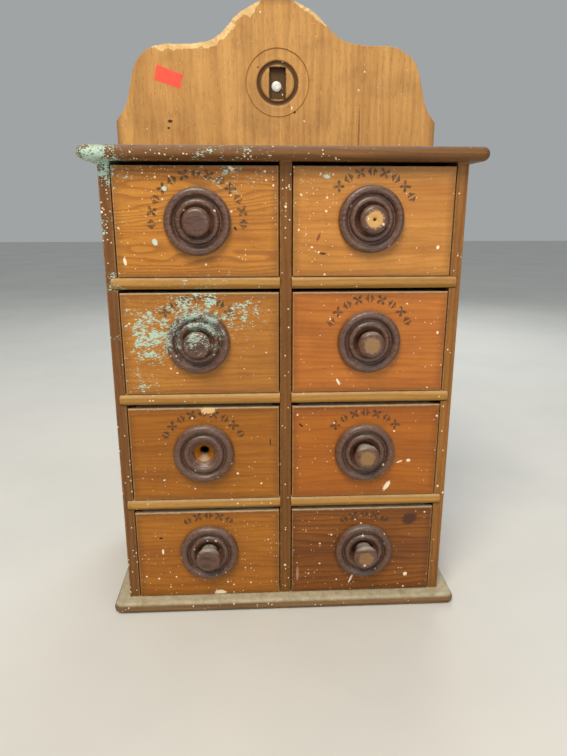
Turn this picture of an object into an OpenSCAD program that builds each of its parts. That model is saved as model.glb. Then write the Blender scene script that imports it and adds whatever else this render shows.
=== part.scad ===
// Hanging spice cabinet: a nailed case with a scrolled back and eight small drawers.
// X runs to the right, Y from the front to the wall, Z up. The origin is the middle of the
// cabinet's box at the underside of the base. Lengths are in millimetres.

/* [Case] */
// Width over the two side boards
body_w = 250; // [200:1:320]
// Depth of the side boards, from their front edge to the backboard
side_d = 128; // [95:1:170]
// Thickness of a side board
side_t = 8; // [6:0.5:12]
// Thickness of the centre divider
divider_t = 8.5; // [6.5:0.5:12]
// Clear height of a drawer opening
opening_h = 76.5; // [66:0.5:100]
// Rounding of the divider's two front corners
divider_round = 1.5; // [0.5:0.25:2.5]
// Rounding of the side boards' front corners
side_round = 1; // [0.5:0.25:2]

/* [Top and base] */
// Thickness of the top board
top_t = 9.4; // [7:0.2:11.6]
// Thickness of the base board
base_t = 8.4; // [7:0.2:11.6]
// How far top, base and backboard reach past the side boards
overhang = 11.2; // [8:0.2:13]
// Corner radius of the top and base boards, seen from above
corner_r = 6.5; // [6:0.5:12]

/* [Shelves] */
// Thickness of a shelf
shelf_t = 8.3; // [6:0.1:12]
// How far a shelf's round nose stands out of the side boards
nose_proud = 2; // [0.5:0.25:3.5]
// Depth of the dadoes in the side boards
dado_d = 4.3; // [2:0.1:5]
// Depth of the housings in the divider
divider_dado_d = 2; // [1:0.1:2.5]
// How far behind the front edge the divider's housings stop
dado_stop = 8; // [5:0.5:20]
// Play of a shelf in its dado
housing_play = 0.1; // [0.05:0.05:0.3]

/* [Backboard] */
// Thickness of the backboard
back_t = 8.4; // [7:0.2:12]
// Height of the scrolled crest above the top board
crest_h = 126; // [105:1:160]
// Height of the hanging hole above the top board
hang_up = 62.3; // [45:0.5:75]
// Width of the hanging hole's pocket
pocket_w = 13; // [9:0.5:18]
// Height of the hanging hole's pocket
pocket_h = 24; // [18:0.5:32]
// Wood left behind the pocket
web_t = 3; // [2:0.25:4]
// Diameter of the hanging hole
hang_hole_d = 5; // [3:0.25:7]

/* [Drawer fit] */
// Play on each side of a drawer
gap_side = 0.7; // [0.4:0.1:1.5]
// Running gap under a drawer
gap_below = 0.3; // [0.2:0.05:0.6]
// Gap above a drawer front
gap_above = 2.6; // [1:0.1:4]
// Gap between a drawer and the backboard
gap_behind = 0.8; // [0.3:0.1:3]
// How far a drawer front stands out of the side boards
front_proud = 0.5; // [0:0.1:1.5]

/* [Drawer boards] */
// Thickness of a drawer front
front_t = 9.5; // [8:0.5:14]
// Rounding of a drawer front's edges
front_round = 1; // [0.5:0.25:2]
// Thickness of a drawer side
drawer_side_t = 5; // [4:0.5:8]
// Thickness of a drawer back
drawer_back_t = 5; // [4:0.5:8]
// Thickness of a drawer bottom
drawer_bottom_t = 3; // [2:0.25:5]
// Depth of the rabbets in a drawer front, from its inner face
rabbet_d = 5.5; // [3:0.25:6.5]
// Depth of the grooves for a drawer bottom
groove_d = 2; // [1:0.25:2.5]
// Wood below the grooves
groove_up = 3.5; // [2:0.25:6]
// How much lower the drawer sides are than the front
side_drop = 2; // [0:0.25:6]
// Play of a drawer bottom in its grooves
groove_play = 0.1; // [0.05:0.05:0.3]

/* [Rosette] */
// Diameter of a rosette
rosette_d = 45.4; // [43:0.2:52]
// Height of a rosette above the drawer front
rosette_t = 5.6; // [4.6:0.1:7.5]
// Width of the outer bead
bead_w = 6; // [5:0.1:7]
// Diameter of the inner ring along its crest
ring_d = 25.6; // [23:0.2:26.4]
// Width of the inner ring
ring_w = 4.8; // [3.5:0.1:5.2]
// How much lower the inner ring is than the outer bead
ring_drop = 0.7; // [0:0.1:1.5]
// Height of the groove's floor between bead and ring
groove_floor = 2.2; // [1.5:0.1:3]
// Height of the dish at its rim
dish_rim_h = 3.2; // [2.5:0.1:3.8]
// Sideways place of the rosettes on the left drawers, from the top row down
left_rosette_dx = [0.5, -2, -1, 0.5]; // [-3:0.5:3]
// Sideways place of the rosettes on the right drawers, from the top row down
right_rosette_dx = [-2, -0.5, -0.5, 1.5]; // [-3:0.5:3]
// Height of the rosettes over the middle of the left drawer fronts, from the top row down
left_rosette_dz = [0.5, 2, 1.5, 2.5]; // [-3:0.5:3]
// Height of the rosettes over the middle of the right drawer fronts, from the top row down
right_rosette_dz = [2, 1, 0, 0.5]; // [-3:0.5:3]

/* [Knob] */
// How far a knob stands out of the drawer front
knob_reach = 14.5; // [13:0.25:20]
// Diameter of a knob's head
knob_d = 19; // [16:0.2:23]
// Diameter of a knob's flat end
knob_end_d = 12.8; // [9:0.2:15]
// Distance from the widest part of the head to the flat end
head_end = 3.2; // [2:0.1:5]
// Diameter of a knob's neck
knob_neck_d = 14; // [11:0.2:14.4]
// Height at which the neck starts to widen
neck_h = 4.5; // [2:0.1:6]
// Diameter of the tapered seat at the drawer's face
seat_d = 14.6; // [14.6:0.2:16.4]
// Depth of the tapered seat in the drawer front
seat_depth = 5; // [3:0.25:6]
// Diameter of the tenon hole
tenon_hole_d = 7; // [5:0.25:9]
// Play of a knob in its seat and hole
knob_play = 0.1; // [0.05:0.05:0.2]

/* [Nails] */
// Diameter of a nail
nail_d = 1.6; // [1.2:0.1:2.2]
// Length of a nail
nail_l = 25; // [18:0.5:32]
// Diameter of a nail's head
nail_head_d = 3.6; // [2.8:0.1:4.4]
// Thickness of a nail's head
nail_head_t = 0.8; // [0.5:0.1:1.2]
// Distance of the nails in the top and base from the ends of the side boards
nail_inset = 26; // [20:0.5:34]
// Play round a nail
nail_play = 0.05; // [0.02:0.01:0.1]

/* [Hidden] */
$fn = 64;
rows = 4;
column_names = ["left", "right"];
pieces = ["front", "sides", "back", "bottom", "rosette", "knob"];
// The drawer in this column and row has lost its knob.
no_knob = [0, 3];
// Extra length of a cutter past the face it cuts
over = 1;

oak = "#A9702F";
front_wood = "#B5782F";
back_wood = "#B88F57";
dark_wood = "#5A4338";
base_wood = "#9C8365";
inside_wood = "#B99A6B";
iron = "#6E6A66";

total_d = knob_reach + front_proud + side_d + back_t;
wall_y = total_d / 2;
back_y = wall_y - back_t;
case_y = back_y - side_d;
board_w = body_w + 2 * overhang;
pitch = opening_h + shelf_t;
top_z = base_t + rows * pitch - shelf_t;
crest_z = top_z + top_t;
total_h = crest_z + crest_h;
bay_w = (body_w - divider_t) / 2 - side_t;
drawer_w = bay_w - 2 * gap_side;
drawer_h = opening_h - gap_below - gap_above;
drawer_l = front_proud + side_d - gap_behind;
drawer_side_h = drawer_h - side_drop;
inner_w = drawer_w - 2 * drawer_side_t;
bottom_top = groove_up + drawer_bottom_t;
tenon_hole_r = tenon_hole_d / 2;
side_x = (body_w - side_t) / 2;

// One half of the crest, from the shoulder corner to the middle: shares of half the
// board's width and of the crest's height.
crest_shape = [
    [1, 0.254], [0.936, 0.354], [0.902, 0.483], [0.870, 0.597], [0.815, 0.670],
    [0.706, 0.725], [0.514, 0.731], [0.370, 0.775], [0.229, 0.917], [0.100, 0.984], [0, 1]
];
crest_steps = 4;

function drawer_node(c, r, piece) = str("drawer_", column_names[c], "_", r, "_", piece);
// Column 0 lies to the left of the divider and column 1 to the right.
function hand(c) = c == 0 ? -1 : 1;
function bay_x(c) = hand(c) * (divider_t + bay_w) / 2;
// Row 1 is the top one.
function opening_z(r) = base_t + (rows - r) * pitch;
function rosette_x(c, r) = (c == 0 ? left_rosette_dx : right_rosette_dx)[r - 1];
function rosette_z(c, r) = drawer_h / 2 + (c == 0 ? left_rosette_dz : right_rosette_dz)[r - 1];

// Point at share t of the smooth curve through b and c, where a and d come before and after.
function curve_point(a, b, c, d, t) =
    b + t / 2 * (c - a) + t * t / 2 * (2 * a - 5 * b + 4 * c - d) + t * t * t / 2 * (3 * (b - c) + d - a);
function crest_place(share) = [share[0] * board_w / 2, crest_z + share[1] * crest_h];
function mirrored(p) = [-p[0], p[1]];
function crest_half(last) = [
    for (i = [0 : last - 1], k = [0 : crest_steps - 1])
        crest_place(curve_point(
            crest_shape[max(i - 1, 0)], crest_shape[i], crest_shape[i + 1],
            i + 2 > last ? mirrored(crest_shape[last - 1]) : crest_shape[i + 2], k / crest_steps))
];

// Places of the nails: in the top and base boards [x, y], in the backboard [x, z].
flat_nails = [for (x = [-side_x, 0, side_x], y = [case_y + nail_inset, back_y - nail_inset]) [x, y]];
edge_nails = [for (x = [-side_x, 0, side_x], r = [1 : rows]) [x, opening_z(r) + opening_h / 2]];
board_nails = [for (s = [-1, 1], z = [base_t / 2, top_z + top_t / 2]) [s * bay_x(1), z]];
back_nails = concat(edge_nails, board_nails);

// A nail that points up from its head at the origin, or with play its hole.
module nail(play = 0) {
    cylinder(d = nail_head_d + 2 * play, h = nail_head_t + play);
    cylinder(d = nail_d + 2 * play, h = nail_l + play);
}

module all_nails(play = 0) {
    for (p = flat_nails) {
        translate([p[0], p[1], 0]) nail(play);
        translate([p[0], p[1], crest_z]) mirror([0, 0, 1]) nail(play);
    }
    for (p = back_nails) translate([p[0], wall_y, p[1]]) rotate([90, 0, 0]) nail(play);
}

module nail_holes() {
    all_nails(nail_play);
}

// Cross-section of a board with a half-round front edge at the origin.
module nosed_section(depth, t) {
    translate([t / 2, 0]) square([depth - t / 2, t]);
    translate([t / 2, t / 2]) circle(d = t);
}

// The corner of such a board turned about its own axis, with the corner's radius.
module turned_corner(t) {
    rotate_extrude(angle = 90) intersection() {
        square([corner_r, t]);
        union() {
            square([corner_r - t / 2, t]);
            translate([corner_r - t / 2, t / 2]) circle(d = t);
        }
    }
}

// Board with half-round front and ends, its front edge at y = 0 and its back square.
module round_edged_board(length, depth, t) {
    core = length / 2 - corner_r;
    translate([-core, 0, 0]) rotate([90, 0, 90]) linear_extrude(2 * core) nosed_section(depth, t);
    for (s = [0, 1]) mirror([s, 0, 0]) {
        translate([length / 2, depth, 0]) rotate([90, 0, 0]) linear_extrude(depth - corner_r)
            mirror([1, 0]) nosed_section(corner_r + over, t);
        translate([core, corner_r, 0]) mirror([0, 1, 0]) turned_corner(t);
    }
}

module backboard() {
    half = crest_half(len(crest_shape) - 1);
    last = len(half) - 1;
    outline = concat(
        [[-board_w / 2, 0], [board_w / 2, 0]],
        half,
        [[0, total_h]],
        [for (i = [last : -1 : 0]) mirrored(half[i])]
    );
    color(back_wood) difference() {
        translate([0, wall_y, 0]) rotate([90, 0, 0]) linear_extrude(back_t) polygon(outline);
        translate([-pocket_w / 2, back_y - over, crest_z + hang_up - pocket_h / 2])
            cube([pocket_w, back_t - web_t + over, pocket_h]);
        translate([0, wall_y + over, crest_z + hang_up]) rotate([90, 0, 0])
            cylinder(d = hang_hole_d, h = back_t + 2 * over);
        nail_holes();
    }
}

module top_board() {
    color(oak) difference() {
        translate([0, case_y - overhang, top_z]) round_edged_board(board_w, side_d + overhang, top_t);
        nail_holes();
    }
}

module base_board() {
    color(base_wood) difference() {
        translate([0, case_y - overhang, 0]) round_edged_board(board_w, side_d + overhang, base_t);
        nail_holes();
    }
}

// Plan of an upright board, its front corners rounded.
module upright_plan(t, depth, r) {
    translate([-t / 2, r]) square([t, depth - r]);
    translate([-t / 2 + r, 0]) square([t - 2 * r, 2 * r]);
    for (s = [-1, 1]) translate([s * (t / 2 - r), r]) circle(r);
}

module upright(t, r) {
    translate([0, case_y, base_t]) linear_extrude(top_z - base_t) upright_plan(t, side_d, r);
}

// Side board of column c, with a dado for each shelf end.
module side_board(c) {
    color(oak) difference() {
        translate([hand(c) * side_x, 0, 0]) upright(side_t, side_round);
        for (i = [1 : rows - 1])
            translate([hand(c) * (body_w / 2 - side_t + dado_d / 2), case_y + side_d / 2, opening_z(i) - shelf_t / 2])
                cube([dado_d, side_d + 2 * over, shelf_t + housing_play], center = true);
        nail_holes();
    }
}

// Divider with a stopped housing on both faces for each pair of shelves.
module center_divider() {
    color(oak) difference() {
        upright(divider_t, divider_round);
        for (i = [1 : rows - 1], s = [0, 1]) mirror([s, 0, 0])
            translate([divider_t / 2 - divider_dado_d, case_y + dado_stop, opening_z(i) - shelf_t - housing_play / 2])
                cube([divider_dado_d + over, side_d, shelf_t + housing_play]);
        nail_holes();
    }
}

// Shelf below row i of column c, its front inner corner notched round the divider.
module shelf(c, i) {
    inner = divider_t / 2 - divider_dado_d + housing_play;
    outer = body_w / 2 - side_t + dado_d - housing_play;
    color(oak) mirror([1 - c, 0, 0]) translate([0, case_y - nose_proud, opening_z(i) - shelf_t]) difference() {
        translate([inner, 0, 0]) rotate([90, 0, 90]) linear_extrude(outer - inner)
            nosed_section(side_d + nose_proud, shelf_t);
        translate([0, -over, -over])
            cube([divider_t / 2, nose_proud + dado_stop + housing_play + over, shelf_t + 2 * over]);
    }
}

module case_nails() {
    color(iron) all_nails();
}

// Puts a drawer piece into its opening: x from the drawer's middle, y from the front's
// face, z from the front's lower edge.
module in_opening(c, r) {
    translate([bay_x(c), case_y - front_proud, opening_z(r) + gap_below]) children();
}

// Turns a piece made on the z axis so that it points out of the drawer front at the rosette's centre.
module on_front(c, r) {
    in_opening(c, r) translate([rosette_x(c, r), 0, rosette_z(c, r)]) rotate([90, 0, 0]) children();
}

// Slice through a drawer front along its width or height, with the face's two edges rounded.
module front_slice(length) {
    translate([0, front_round]) square([length, front_t - front_round]);
    translate([front_round, 0]) square([length - 2 * front_round, 2 * front_round]);
    for (x = [front_round, length - front_round]) translate([x, front_round]) circle(front_round);
}

module front_board() {
    intersection() {
        translate([-drawer_w / 2, 0, 0]) linear_extrude(drawer_h) front_slice(drawer_w);
        translate([drawer_w / 2, 0, 0]) rotate([0, -90, 0]) linear_extrude(drawer_w) front_slice(drawer_h);
    }
}

// Front with rabbets for the sides, a groove for the bottom and the knob's tapered seat.
module drawer_front(c, r) {
    color(front_wood) difference() {
        in_opening(c, r) front_board();
        in_opening(c, r) for (s = [0, 1]) mirror([s, 0, 0])
            translate([inner_w / 2, front_t - rabbet_d, -over])
                cube([drawer_side_t + over, rabbet_d + over, drawer_h + 2 * over]);
        in_opening(c, r) translate([-drawer_w / 2, front_t - groove_d, groove_up])
            cube([drawer_w, groove_d + over, drawer_bottom_t + groove_play]);
        on_front(c, r) {
            translate([0, 0, -front_t - over]) cylinder(d = tenon_hole_d, h = front_t);
            rotate_extrude() polygon([
                [0, -seat_depth], [tenon_hole_r, -seat_depth], [seat_d / 2, 0], [seat_d / 2, over], [0, over]
            ]);
        }
    }
}

// The two sides, each with a groove for the bottom along its inner face.
module drawer_sides(c, r) {
    color(inside_wood) in_opening(c, r) for (s = [0, 1]) mirror([s, 0, 0]) difference() {
        translate([inner_w / 2, front_t - rabbet_d, 0])
            cube([drawer_side_t, drawer_l - front_t + rabbet_d, drawer_side_h]);
        translate([inner_w / 2 - over, 0, groove_up])
            cube([groove_d + over, drawer_l + over, drawer_bottom_t + groove_play]);
    }
}

// The back stands on the bottom, between the sides.
module drawer_back(c, r) {
    color(inside_wood) in_opening(c, r)
        translate([-inner_w / 2, drawer_l - drawer_back_t, bottom_top + groove_play])
            cube([inner_w, drawer_back_t, drawer_side_h - bottom_top - groove_play]);
}

module drawer_bottom(c, r) {
    reach = groove_d - groove_play;
    color(inside_wood) in_opening(c, r)
        translate([-inner_w / 2 - reach, front_t - reach, groove_up + groove_play / 2])
            cube([inner_w + 2 * reach, drawer_l - front_t + reach, drawer_bottom_t]);
}

// Half-section of the rosette: an outer bead, a groove, an inner ring and a tapered hole.
module rosette_section() {
    seat_r = seat_d / 2;
    ring_r = ring_d / 2;
    ring_in = ring_r - ring_w / 2;
    ring_h = rosette_t - ring_drop;
    bead_r = (rosette_d - bead_w) / 2;
    translate([ring_r, 0]) square([bead_r - ring_r, groove_floor]);
    translate([bead_r - bead_w / 2, 0]) square([bead_w, rosette_t - bead_w / 2]);
    intersection() {
        translate([bead_r, rosette_t - bead_w / 2]) circle(d = bead_w);
        translate([bead_r - bead_w / 2, 0]) square([bead_w, rosette_t]);
    }
    translate([ring_in, 0]) square([ring_w, ring_h - ring_w / 2]);
    translate([ring_r, ring_h - ring_w / 2]) circle(d = ring_w);
    polygon([[seat_r, 0], [ring_r, 0], [ring_r, dish_rim_h], [ring_in, dish_rim_h]]);
}

module drawer_rosette(c, r) {
    color(dark_wood) on_front(c, r) rotate_extrude() rosette_section();
}

// Points of a quarter of an ellipse about a centre, from its side to its top.
function quarter(centre, rx, ry, steps) =
    [for (k = [0 : steps]) centre + [rx * cos(90 * k / steps), ry * sin(90 * k / steps)]];
// Points of an S-curve that starts and ends upright.
function s_curve(from, to, steps) =
    [for (k = [0 : steps]) let (t = k / steps, u = t * t * (3 - 2 * t))
        [from[0] + (to[0] - from[0]) * u, from[1] + (to[1] - from[1]) * t]];

// Half-section of the knob: tenon, tapered foot, neck, round head and flat end.
module knob_section() {
    tenon_r = tenon_hole_r - knob_play;
    taper = seat_depth / (seat_d / 2 - tenon_hole_r);
    neck_r = knob_neck_d / 2;
    head_r = knob_d / 2;
    head_h = knob_reach - head_end;
    end_r = knob_end_d / 2;
    foot_h = 2 * knob_play - (seat_d / 2 - neck_r) * taper;
    polygon(concat(
        [[0, -front_t], [tenon_r, -front_t], [tenon_r, foot_h - (neck_r - tenon_r) * taper], [neck_r, foot_h]],
        s_curve([neck_r, neck_h], [head_r, head_h], 9),
        [for (p = quarter([end_r, head_h], head_r - end_r, head_end, 8)) if (p[1] > head_h) p],
        [[0, knob_reach]]
    ));
}

module drawer_knob(c, r) {
    color(dark_wood) on_front(c, r) rotate_extrude() knob_section();
}

backboard();
top_board();
base_board();
side_board(0);  // side_left
side_board(1);  // side_right
center_divider();
for (c = [0, 1], i = [1 : rows - 1])
    shelf(c, i);
case_nails();
for (c = [0, 1], r = [1 : rows]) {
    drawer_front(c, r);
    drawer_sides(c, r);
    drawer_back(c, r);
    drawer_bottom(c, r);
    drawer_rosette(c, r);
    if ([c, r] != no_knob)
        drawer_knob(c, r);
}
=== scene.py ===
import math

import bmesh
import bpy
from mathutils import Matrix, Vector, noise


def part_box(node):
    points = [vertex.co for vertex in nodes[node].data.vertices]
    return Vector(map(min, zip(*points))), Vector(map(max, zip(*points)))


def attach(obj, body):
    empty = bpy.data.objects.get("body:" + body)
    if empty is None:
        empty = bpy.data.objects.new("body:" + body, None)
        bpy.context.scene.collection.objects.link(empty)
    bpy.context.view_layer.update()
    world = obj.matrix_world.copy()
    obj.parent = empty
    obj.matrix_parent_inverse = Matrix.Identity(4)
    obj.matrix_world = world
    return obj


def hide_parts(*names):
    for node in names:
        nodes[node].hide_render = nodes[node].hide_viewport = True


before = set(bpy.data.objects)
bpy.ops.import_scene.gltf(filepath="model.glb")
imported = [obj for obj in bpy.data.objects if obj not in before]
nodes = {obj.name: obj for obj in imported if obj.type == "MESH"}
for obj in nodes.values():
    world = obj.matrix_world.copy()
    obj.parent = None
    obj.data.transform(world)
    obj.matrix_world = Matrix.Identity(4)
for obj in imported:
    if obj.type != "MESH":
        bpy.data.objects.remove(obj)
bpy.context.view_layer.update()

mm = 0.001
columns = ("left", "right")
rows = (1, 2, 3, 4)
mathNode = "ShaderNodeMath"
vectorNode = "ShaderNodeVectorMath"
mixNode = "ShaderNodeMix"
rangeNode = "ShaderNodeMapRange"
noiseNode = "ShaderNodeTexNoise"
dotsNode = "ShaderNodeTexVoronoi"
splitNode = "ShaderNodeSeparateXYZ"
joinNode = "ShaderNodeCombineXYZ"
number, vector = "NodeSocketFloat", "NodeSocketVector"
print("frame loaded:", len(nodes), "nodes")


def linear(hexColour):  # sRGB hex to the linear colour that Blender wants
    parts = [int(hexColour[i:i + 2], 16) / 255 for i in (1, 3, 5)]
    return [c / 12.92 if c <= 0.04045 else ((c + 0.055) / 1.055) ** 2.4 for c in parts] + [1]


def put(tree, kind, inputs=(), out=0, **settings):  # adds a node, hands back one of its outputs
    node = tree.nodes.new(kind)
    for name, value in settings.items():
        setattr(node, name, value)
    for key, value in dict(inputs).items():
        if isinstance(value, bpy.types.NodeSocket):
            tree.links.new(value, node.inputs[key])
        else:
            node.inputs[key].default_value = value
    return node if out is None else node.outputs[out]


def blend(tree, amount, below, tint):  # one colour laid over another
    return put(tree, mixNode, {0: amount, 6: below, 7: tint}, out=2, data_type="RGBA")


def times(tree, first, second):
    return put(tree, mathNode, {0: first, 1: second}, operation="MULTIPLY")


def startGroup(name, given, asked, treeType="ShaderNodeTree"):
    tree = bpy.data.node_groups.new(name, treeType)
    for label, kind, value in given:
        socket = tree.interface.new_socket(label, in_out="INPUT", socket_type=kind)
        if value is not None:
            socket.default_value = value
    for label, kind in asked:
        tree.interface.new_socket(label, in_out="OUTPUT", socket_type=kind)
    return tree, tree.nodes.new("NodeGroupInput").outputs, tree.nodes.new("NodeGroupOutput").inputs


boxes = {name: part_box(name) for name in nodes}


def centreOf(node):
    low, high = boxes[node]
    return (low + high) / 2


# Sawn wood. Vector is in mm, with x along the grain and the pith at y = z = 0.
grain, given, asked = startGroup(
    "sawnWood",
    [("Vector", vector, (0, 0, 0)), ("Ring Spacing", number, 4), ("Wander", number, 8)],
    [(n, number) for n in ("Figure", "Fibre", "Tone", "Pores")],
)
drift = put(grain, noiseNode, {
    "Vector": put(grain, vectorNode, {0: given["Vector"], 1: (1 / 150, 1 / 26, 1 / 26)},
        operation="MULTIPLY"),
    "Scale": 1, "Detail": 2.5, "Roughness": 0.45})
radius = put(grain, vectorNode, {
    0: put(grain, vectorNode, {0: given["Vector"], 1: (0.02, 1, 1)}, operation="MULTIPLY")},
    operation="LENGTH", out="Value")
bent = put(grain, mathNode, {
    0: put(grain, mathNode, {0: drift, 1: 0.5}, operation="SUBTRACT"), 1: given["Wander"], 2: radius},
    operation="MULTIPLY_ADD")
phase = put(grain, mathNode, {
    0: put(grain, mathNode, {0: bent, 1: given["Ring Spacing"]}, operation="DIVIDE")}, operation="FRACT")
rise = put(grain, rangeNode, {0: phase, 1: 0.35, 2: 0.9}, interpolation_type="SMOOTHSTEP")
fall = put(grain, rangeNode, {0: phase, 1: 0.9, 2: 1.0, 3: 1, 4: 0}, interpolation_type="SMOOTHSTEP")
grain.links.new(times(grain, rise, fall), asked["Figure"])
for label, scales, detail, low, high in (
    ("Fibre", (1 / 45, 1 / 2.6, 1 / 2.6), 4, 0.3, 0.7),   # streaks 0.5 to 3 mm wide
    ("Tone", (1 / 170, 1 / 22, 1 / 22), 2, 0.3, 0.7),     # broad bands
    ("Pores", (1 / 5, 1 / 0.8, 1 / 0.8), 1, 0.6, 0.72),   # real pores are finer, these still show
):
    field = put(grain, noiseNode, {
        "Vector": put(grain, vectorNode, {0: given["Vector"], 1: scales}, operation="MULTIPLY"),
        "Scale": 1, "Detail": detail, "Roughness": 0.62})
    grain.links.new(put(grain, rangeNode, {0: field, 1: low, 2: high}), asked[label])

# Small drops of paint: one may sit in each cell, if its random number is under Amount.
drops, given, asked = startGroup(
    "paintDrops",
    [("Vector", vector, (0, 0, 0)), ("Amount", number, 0.2), ("Cell", number, 4), ("Size", number, 0.24)],
    [("Mask", number)],
)
wobble = put(drops, noiseNode, {"Vector": given["Vector"], "Scale": 0.9, "Detail": 1}, out="Color")
moved = put(drops, vectorNode, {0: wobble, 1: (0.9, 0.9, 0.9), 2: given["Vector"]},
    operation="MULTIPLY_ADD")
cells = put(drops, dotsNode, {
    "Vector": put(drops, vectorNode, {
        0: moved, "Scale": put(drops, mathNode, {0: 1, 1: given["Cell"]}, operation="DIVIDE")},
            operation="SCALE"),
    "Scale": 1}, out=None)
chance = put(drops, splitNode, {0: cells.outputs["Color"]}, out=None)
sized = put(drops, mathNode, {
    0: put(drops, mathNode, {0: chance.outputs["Y"], 1: 2.2}, operation="POWER"), 1: given["Size"],
    2: 0.09},
    operation="MULTIPLY_ADD")
inside = put(drops, rangeNode, {
    0: put(drops, mathNode, {0: sized, 1: cells.outputs["Distance"]}, operation="SUBTRACT"), 1: -0.02,
    2: 0.03})
there = put(drops, mathNode, {0: chance.outputs["X"], 1: given["Amount"]}, operation="LESS_THAN")
drops.links.new(times(drops, inside, there), asked["Mask"])

# Flakes of old paint that stretch along x, worn off in patches.
flakes, given, asked = startGroup(
    "paintFlakes", [("Vector", vector, (0, 0, 0)), ("Amount", number, 0.5)], [("Mask", number)])
fine = put(flakes, noiseNode, {
    "Vector": put(flakes, vectorNode, {0: given["Vector"], 1: (0.6, 1.25, 1.25)}, operation="MULTIPLY"),
    "Scale": 1, "Detail": 2.5, "Roughness": 0.6})
broad = put(flakes, noiseNode, {"Vector": given["Vector"], "Scale": 0.16, "Detail": 1})
level = put(flakes, mathNode, {
    0: put(flakes, mathNode, {0: broad, 1: 0.6, 2: fine}, operation="MULTIPLY_ADD"),
    1: put(flakes, rangeNode, {0: given["Amount"], 3: 1.12, 4: 0.62})}, operation="SUBTRACT")
flakes.links.new(put(flakes, rangeNode, {0: level, 1: 0, 2: 0.035}), asked["Mask"])

# One smear or blot on a face towards the front, placed at a given point, in mm from the object's own origin.
smear, given, asked = startGroup(
    "smear",
    [("Vector", vector, (0, 0, 0)), ("Place", vector, (0, 0, 0)), ("Half Size", vector, (1, 9, 1)),
     ("Turn", number, 0), ("Ragged", number, 0.5)],
    [("Mask", number)],
)
local = put(smear, vectorNode, {0: given["Vector"], 1: given["Place"]}, operation="SUBTRACT")
local = put(smear, "ShaderNodeVectorRotate", {"Vector": local, "Angle": given["Turn"]},
    rotation_type="Y_AXIS")
local = put(smear, vectorNode, {0: local, 1: given["Half Size"]}, operation="DIVIDE")
reach = put(smear, vectorNode, {0: local}, operation="LENGTH", out="Value")
fringe = put(smear, noiseNode, {"Vector": given["Vector"], "Scale": 0.8, "Detail": 3, "Roughness": 0.6})
reach = put(smear, mathNode, {
    0: put(smear, mathNode, {0: fringe, 1: 0.5}, operation="SUBTRACT"),
    1: times(smear, given["Ragged"], 3), 2: reach}, operation="MULTIPLY_ADD")
smear.links.new(put(smear, rangeNode, {0: reach, 1: 1.05, 2: 0.85}), asked["Mask"])

# A stencilled arc round a rosette: split lozenges and four-petal flowers by turns, worn through in places.
arcLook = {"middle": 31.3, "pitch": 15.5, "halfHigh": 4.1, "halfWide": 3.5,
    "bridge": 0.45}  # mm, pitch in degrees
arc, given, asked = startGroup(
    "stencilArc",
    [("Vector", vector, (0, 0, 0)), ("Centre", vector, (0, 0, 0)), ("From", number, -1), ("To", number, 1)],
    [("Mask", number)],
)
local = put(arc, splitNode, {0: put(
    arc, vectorNode, {0: given["Vector"], 1: given["Centre"]}, operation="SUBTRACT")}, out=None)
turn = put(arc, mathNode, {0: local.outputs["X"], 1: local.outputs["Z"]}, operation="ARCTAN2")
reach = put(arc, vectorNode, {0: put(arc, joinNode, {
    "X": local.outputs["X"], "Z": local.outputs["Z"]})}, operation="LENGTH", out="Value")
pitch = math.radians(arcLook["pitch"])
steps = put(arc, mathNode, {0: turn, 1: pitch}, operation="DIVIDE")
which = put(arc, mathNode, {0: steps, 1: 0.5}, operation="ADD")
which = put(arc, mathNode, {0: which}, operation="FLOOR")
across = put(arc, mathNode, {
    0: put(arc, mathNode, {0: steps, 1: which}, operation="SUBTRACT"), 1: pitch * arcLook["middle"]},
    operation="MULTIPLY")
along = put(arc, mathNode, {0: reach, 1: arcLook["middle"]}, operation="SUBTRACT")
acrossSize = put(arc, mathNode, {0: across}, operation="ABSOLUTE")
alongSize = put(arc, mathNode, {0: along}, operation="ABSOLUTE")
lozenge = put(arc, mathNode, {
    0: put(arc, mathNode, {0: acrossSize, 1: arcLook["halfWide"]}, operation="DIVIDE"),
    1: put(arc, mathNode, {0: alongSize, 1: arcLook["halfHigh"]}, operation="DIVIDE")}, operation="ADD")
lozenge = put(arc, rangeNode, {0: lozenge, 1: 1.06, 2: 0.94})
split = put(arc, rangeNode, {0: acrossSize, 1: arcLook["bridge"], 2: arcLook["bridge"] + 0.35})
lozenge = times(arc, lozenge, split)
petalTurn = put(arc, mathNode, {0: across, 1: along}, operation="ARCTAN2")
petal = put(arc, mathNode, {0: put(arc, mathNode, {
    0: times(arc, petalTurn, 2)}, operation="SINE")}, operation="ABSOLUTE")
petalReach = put(arc, mathNode, {0: put(arc, vectorNode, {0: put(
    arc, joinNode, {"X": across, "Z": along})}, operation="LENGTH", out="Value"),
    1: arcLook["halfHigh"] * 1.05}, operation="DIVIDE")
petal = put(arc, mathNode, {0: petal, 1: petalReach}, operation="SUBTRACT")
petal = put(arc, rangeNode, {0: petal, 1: 0.0, 2: 0.12})
odd = put(arc, mathNode, {0: put(arc, mathNode, {0: which, 1: 2}, operation="MODULO")},
    operation="ABSOLUTE")
shape = put(arc, mixNode, {0: odd, 2: lozenge, 3: petal})
for edge, step in (("From", "GREATER_THAN"), ("To", "LESS_THAN")):
    middle = times(arc, which, pitch)
    inside = put(arc, mathNode, {0: middle, 1: given[edge]}, operation=step)
    shape = times(arc, shape, inside)
worn = put(arc, noiseNode, {"Vector": given["Vector"], "Scale": 0.7, "Detail": 4, "Roughness": 0.65})
worn = put(arc, rangeNode, {0: worn, 1: 0.36, 2: 0.56, 3: 0.35, 4: 1})
arc.links.new(times(arc, shape, worn), asked["Mask"])

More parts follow.
